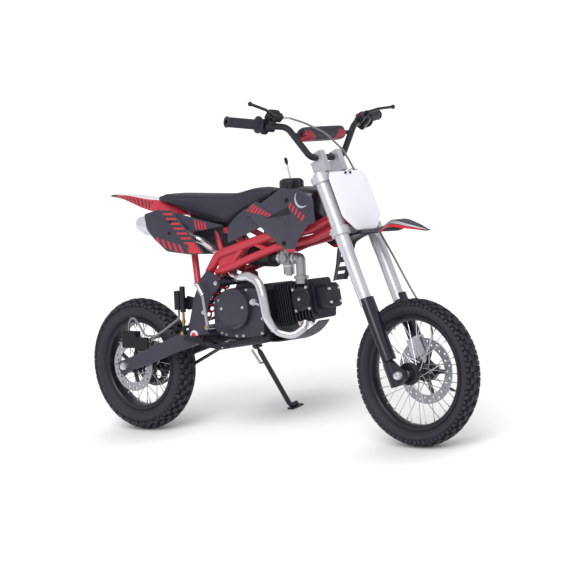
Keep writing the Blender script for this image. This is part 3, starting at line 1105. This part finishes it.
# Rear mudguard: white plastic behind the seat with red sides cut by black bars, and a black tip.
tail_white = finish("tail_white", (228, 225, 236), 0.3, grain=500, depth=3e-5, mottle=0.03)
run, beside = map_parts(tail_white.node_tree)
bars = (between((beside * -5.0 + run * 20.0).worked("FRACT"), 0.0, 0.42, 0.04) * between(run, 0.14, 0.6, 0.004)
        * between(beside, 0.66, 0.95, 0.01))
print_on(tail_white, (beside > 0.6, (188, 46, 64)), (bars, (30, 28, 39)), (run < 0.095, (24, 23, 34)))
tail_rows = [(-0.738, 0.852, 2, 0.02, 0.002), (-0.64, 0.85, 2, 0.05, 0.012), (-0.53, 0.838, 4, 0.068, 0.03),
             (-0.44, 0.832, 8, 0.078, 0.04), (-0.33, 0.8, 16, 0.06, 0.016)]
points, faces, own_map = mudguard(tail_rows, 90, 41, 0.5)
tail = add_piece("tail_guard", [(points, faces)], tail_white, ("rear_fender",), 45,
                 place=on_bike, closed=False, own_map=own_map)
thicken(tail, 0.0035)

# Seat: foam on a plastic pan under a stretched vinyl cover, sewn along both shoulders and stapled below.
cover_vinyl = finish("cover_vinyl", (41, 40, 55), 0.56, grain=1700, cloud=5, depth=2.5e-4, mottle=0.08)
seat_power = 4.2
seat_rows = smooth_rows([
    (-0.468, 0.056, 0.836, 0.8445), (-0.458, 0.068, 0.832, 0.8465), (-0.43, 0.078, 0.826, 0.847),
    (-0.379, 0.084, 0.813, 0.846), (-0.278, 0.087, 0.777, 0.844), (-0.2, 0.087, 0.759, 0.8425),
    (-0.138, 0.085, 0.749, 0.8425), (-0.085, 0.077, 0.772, 0.848), (-0.027, 0.068, 0.8, 0.86),
    (0.033, 0.056, 0.829, 0.8665), (0.062, 0.044, 0.845, 0.8655)], 90)
seat = add_piece("seat_cushion", [stuffed_body(seat_rows, 72, seat_power, 1.6)], cover_vinyl,
                 ("seat",), 60, place=on_bike)


def swell(piece, voxel, pressure, most):
    """Blow the piece up as cloth for 20 frames from an even net of voxels; no point moves more than most."""
    context = bpy.context
    net_maker = piece.modifiers.new("net", "REMESH")
    net_maker.mode, net_maker.voxel_size = "VOXEL", voxel
    net = bpy.data.meshes.new_from_object(piece.evaluated_get(context.evaluated_depsgraph_get()))
    piece.modifiers.clear()
    old_mesh, piece.data = piece.data, net
    net.name = old_mesh.name
    net.materials.clear()
    net.materials.append(old_mesh.materials[0])
    bpy.data.meshes.remove(old_mesh)
    start = np.empty(len(net.vertices) * 3)
    net.vertices.foreach_get("co", start)
    cloth = piece.modifiers.new("cover", "CLOTH").settings
    cloth.use_pressure, cloth.uniform_pressure_force = True, pressure
    cloth.effector_weights.gravity = 0.0
    for frame_number in range(1, 21):
        context.scene.frame_set(frame_number)
    result = piece.evaluated_get(context.evaluated_depsgraph_get()).to_mesh()
    swollen = np.empty(len(start))
    result.vertices.foreach_get("co", swollen)
    piece.modifiers.clear()
    context.scene.frame_set(1)
    moved = (swollen - start).reshape(-1, 3)
    length = np.linalg.norm(moved, axis=1, keepdims=True)
    moved = moved * np.minimum(1, most / np.maximum(length, 1e-9))
    net.vertices.foreach_set("co", (start.reshape(-1, 3) + moved).ravel())
    net.update()
    net.shade_smooth()


swell(seat, 0.006, 4.0, 0.006)
smoother = seat.modifiers.new("cover_round", "SUBSURF")
smoother.levels = smoother.render_levels = 1
x, wide, low, high = seat_rows[4:-4].T
seam_angle, stand_off = np.radians(52), 0.0035
seam_y = wide * np.cos(seam_angle) ** (2 / seat_power) + stand_off
seam_z = (low + high) / 2 + (high - low) / 2 * np.sin(seam_angle) ** (2 / seat_power) + stand_off
cover_skin = BVHTree.FromObject(seat, bpy.context.evaluated_depsgraph_get())
seams = []
for side in (-1, 1):
    line = on_bike(np.stack([x, side * seam_y, seam_z], -1))
    nearest = [cover_skin.find_nearest(Vector(point)) for point in line]
    line = np.array([spot + facing * 0.0005 for spot, facing, face, distance in nearest])
    seams.append(wire_along(line, across, upward, 0.0014))
add_piece("seat_piping", seams, cover_vinyl, (), 60)
pan_black = finish("pan_black", (30, 28, 40), 0.5, grain=700, depth=2e-4, mottle=0.1)
pan_line = rounded_outline([(-0.12, 0.72), (-0.28, 0.746), (-0.32, 0.758), (-0.32, 0.822), (-0.12, 0.788)],
                           0.008, 120)
pan = both_walls(moulded_panel(pan_line, (-0.215, 0.765), 0.096, 0.0), 0.048)[:1]
add_piece("seat_pan", pan, pan_black, (), 35, place=on_bike)
wall_line = rounded_outline([(-0.286, 0.64), (-0.166, 0.64), (-0.15, 0.742), (-0.3, 0.752)], 0.008, 120)
walls = both_walls(moulded_panel(wall_line, (-0.225, 0.695), 0.003, 0.001, 0.001), 0.06)
add_piece("underseat_walls", walls, pan_black, (), 35, place=on_bike)

# Controls: chromed kick lever with a rubber, steel pegs, sprayed pedals, and the rear brake's parts.
dress(black_steel, "foot_pegs", "rear_caliper")
teeth = on_bike([(x, side * y, 0.364) for side in (-1, 1) for x in (-0.178, -0.164, -0.15)
                 for y in np.linspace(0.12, 0.194, 8)])
tooth = [(0.005, 0), (0.0042, 0.7), (0.002, 1)]
add_piece("peg_teeth", [spun(teeth - upward * 0.002, teeth + upward * 0.004, tooth, 4)], black_steel)
brass = finish("brass", (186, 158, 92), 0.34, 0.8, mottle=0.1)
rod_top, rod_low, nut_in, nut_out = on_bike([(-0.312, -0.116, 0.441), (-0.312, -0.116, 0.392),
                                             (-0.312, -0.1255, 0.366), (-0.312, -0.1285, 0.366)])
fork_end = [(0.0052, 0), (0.0052, 0.55), (0.0072, 0.56), (0.0072, 0.8), (0.0052, 0.81), (0.0052, 1)]
add_piece("pushrod_fork", [spun(rod_top, rod_low, fork_end, 6), rod(nut_in, nut_out, 0.0072, 6)], brass)
ridges = [(z, (0.0122, 0.0122, 0.0032)) for z in (0.458, 0.468, 0.478, 0.488, 0.498)]
add_piece("reservoir_ribs", [rounded_block(on_bike((-0.333, -0.115, z)), bike_axes, half, 0.35, 0.35)
                             for z, half in ridges + [(0.51, (0.0128, 0.0128, 0.005))]],
          lever_black, (), 35)
kick_screw = on_bike((-0.187, -0.1335, 0.391))
add_piece("kick_screw", [screw_heads(kick_screw, -across, 0.0062, 0.004, 6)], brass)

# Stand spring: a zinc coil spring between the stand's peg and its pivot bolt, pulling it to its stops.
high, low, pivot = on_bike([(-0.2265, 0.138, 0.2829), (-0.2232, 0.1753, 0.2335), (-0.206, 0.14, 0.301)])
add_piece("stand_spring", [coil(high, low, 0.0042, 0.001, 17, 16, 6), rod(pivot, high, 0.0012, 8)], zinc_steel,
          body="stand")

# Valve stems: black rubber stems with knurled caps, standing in from each rim's well.
stem = [(0.005, 0), (0.0038, 0.12), (0.003, 0.2), (0.003, 0.62), (0.004, 0.64), (0.004, 0.97), (0.0032, 1)]
for end, axle, well, turn in (("front", front_axle, 0.1745, -20), ("rear", rear_axle, 0.1485, 200)):
    way = np.array([np.cos(np.radians(turn)), 0.0, np.sin(np.radians(turn))])
    add_piece(end + "_valve", [spun(way * well, way * (well - 0.034), stem, 16)], cap_black,
              body=end + "_wheel", place=about(axle))

# Studio: a white seamless floor that stays white to the lens and in reflections and keeps only the
# shadow by the tyres and the stand's foot, under even light from all round and a soft sun from the lens.
floor_half = 30.0
floor_grey, white = (0.8, 0.8, 0.81, 1), (1, 1, 1, 1)
shadow_from, shadow_to, floor_glow = 0.03, 0.3, 0.22
floor = bpy.data.objects.new("studio_floor", bpy.data.meshes.new("studio_floor"))
floor.data.from_pydata([(x * floor_half, y * floor_half, 0) for x, y in ((-1, -1), (1, -1), (1, 1), (-1, 1))],
                       [], [(0, 1, 2, 3)])
bpy.context.scene.collection.objects.link(floor)
floor_white = bpy.data.materials.new("floor_white")
floor_white.use_nodes = True
tree = floor_white.node_tree
tree.nodes.remove(tree.nodes["Principled BSDF"])
own_place = node(tree, "TexCoord").outputs["Object"]
feet = [on_bike((wheelbase / 2, 0, 0)), on_bike((-wheelbase / 2, 0, 0)), np.array([-0.194, 0.138, 0.0])]
front, rear, stand = (vector_value(tree, "DISTANCE", own_place, (*foot[:2].tolist(), 0.0)) for foot in feet)
nearest = front.worked("MINIMUM", rear).worked("MINIMUM", stand)
far = node(tree, "MapRange", {"Value": nearest, "From Min": shadow_from, "From Max": shadow_to},
           interpolation_type="SMOOTHSTEP")
rays = node(tree, "LightPath").outputs
lens, mirrors, glass = (Value(tree, rays[f"Is {kind} Ray"]) for kind in ("Camera", "Glossy", "Transmission"))
strength = (lens + mirrors + glass).clamped() * Value(tree, far.outputs["Result"]) * floor_glow
lit = node(tree, "BsdfDiffuse", {"Color": floor_grey}).outputs[0]
glow = node(tree, "Emission", {"Color": white, "Strength": strength}).outputs[0]
put(tree, node(tree, "AddShader", {0: lit, 1: glow}).outputs[0], tree.nodes["Material Output"].inputs["Surface"])
floor.data.materials.append(floor_white)

even_light, lens_extra, mirror_extra = 0.8, 0.2, -0.25
world = bpy.data.worlds.new("studio")
bpy.context.scene.world = world
world.use_nodes = True
tree = world.node_tree
rays = node(tree, "LightPath").outputs
lens, mirrors = (Value(tree, rays[f"Is {kind} Ray"]) for kind in ("Camera", "Glossy"))
sky = tree.nodes["Background"].inputs
put(tree, mirrors * mirror_extra + even_light + lens * lens_extra, sky["Strength"])
sky["Color"].default_value = white

sun = bpy.data.objects.new("sun_lamp", bpy.data.lights.new("sun_lamp", "SUN"))
sun.data.energy = 1.6
sun.data.angle = np.radians(45)
sun.rotation_euler = Vector((-0.35, 0.72, -1.0)).to_track_quat("-Z", "Y").to_euler()
bpy.context.scene.collection.objects.link(sun)

# Camera: low and far off, from the bike's right front.
camera = bpy.data.objects.new("camera", bpy.data.cameras.new("camera"))
camera.data.lens = 157.175
camera.data.clip_end = 200.0
right_way = Vector((0.752502, 0.637433, -0.165592))
up_way = Vector((-0.009816, 0.262261, 0.964947))
turn = Matrix((right_way, up_way, right_way.cross(up_way))).transposed().to_4x4()
camera.matrix_world = Matrix.Translation(on_bike((5.70177, -6.41374, 1.11284))) @ turn
bpy.context.scene.collection.objects.link(camera)
bpy.context.scene.camera = camera
bpy.context.scene.view_settings.view_transform = "Standard"
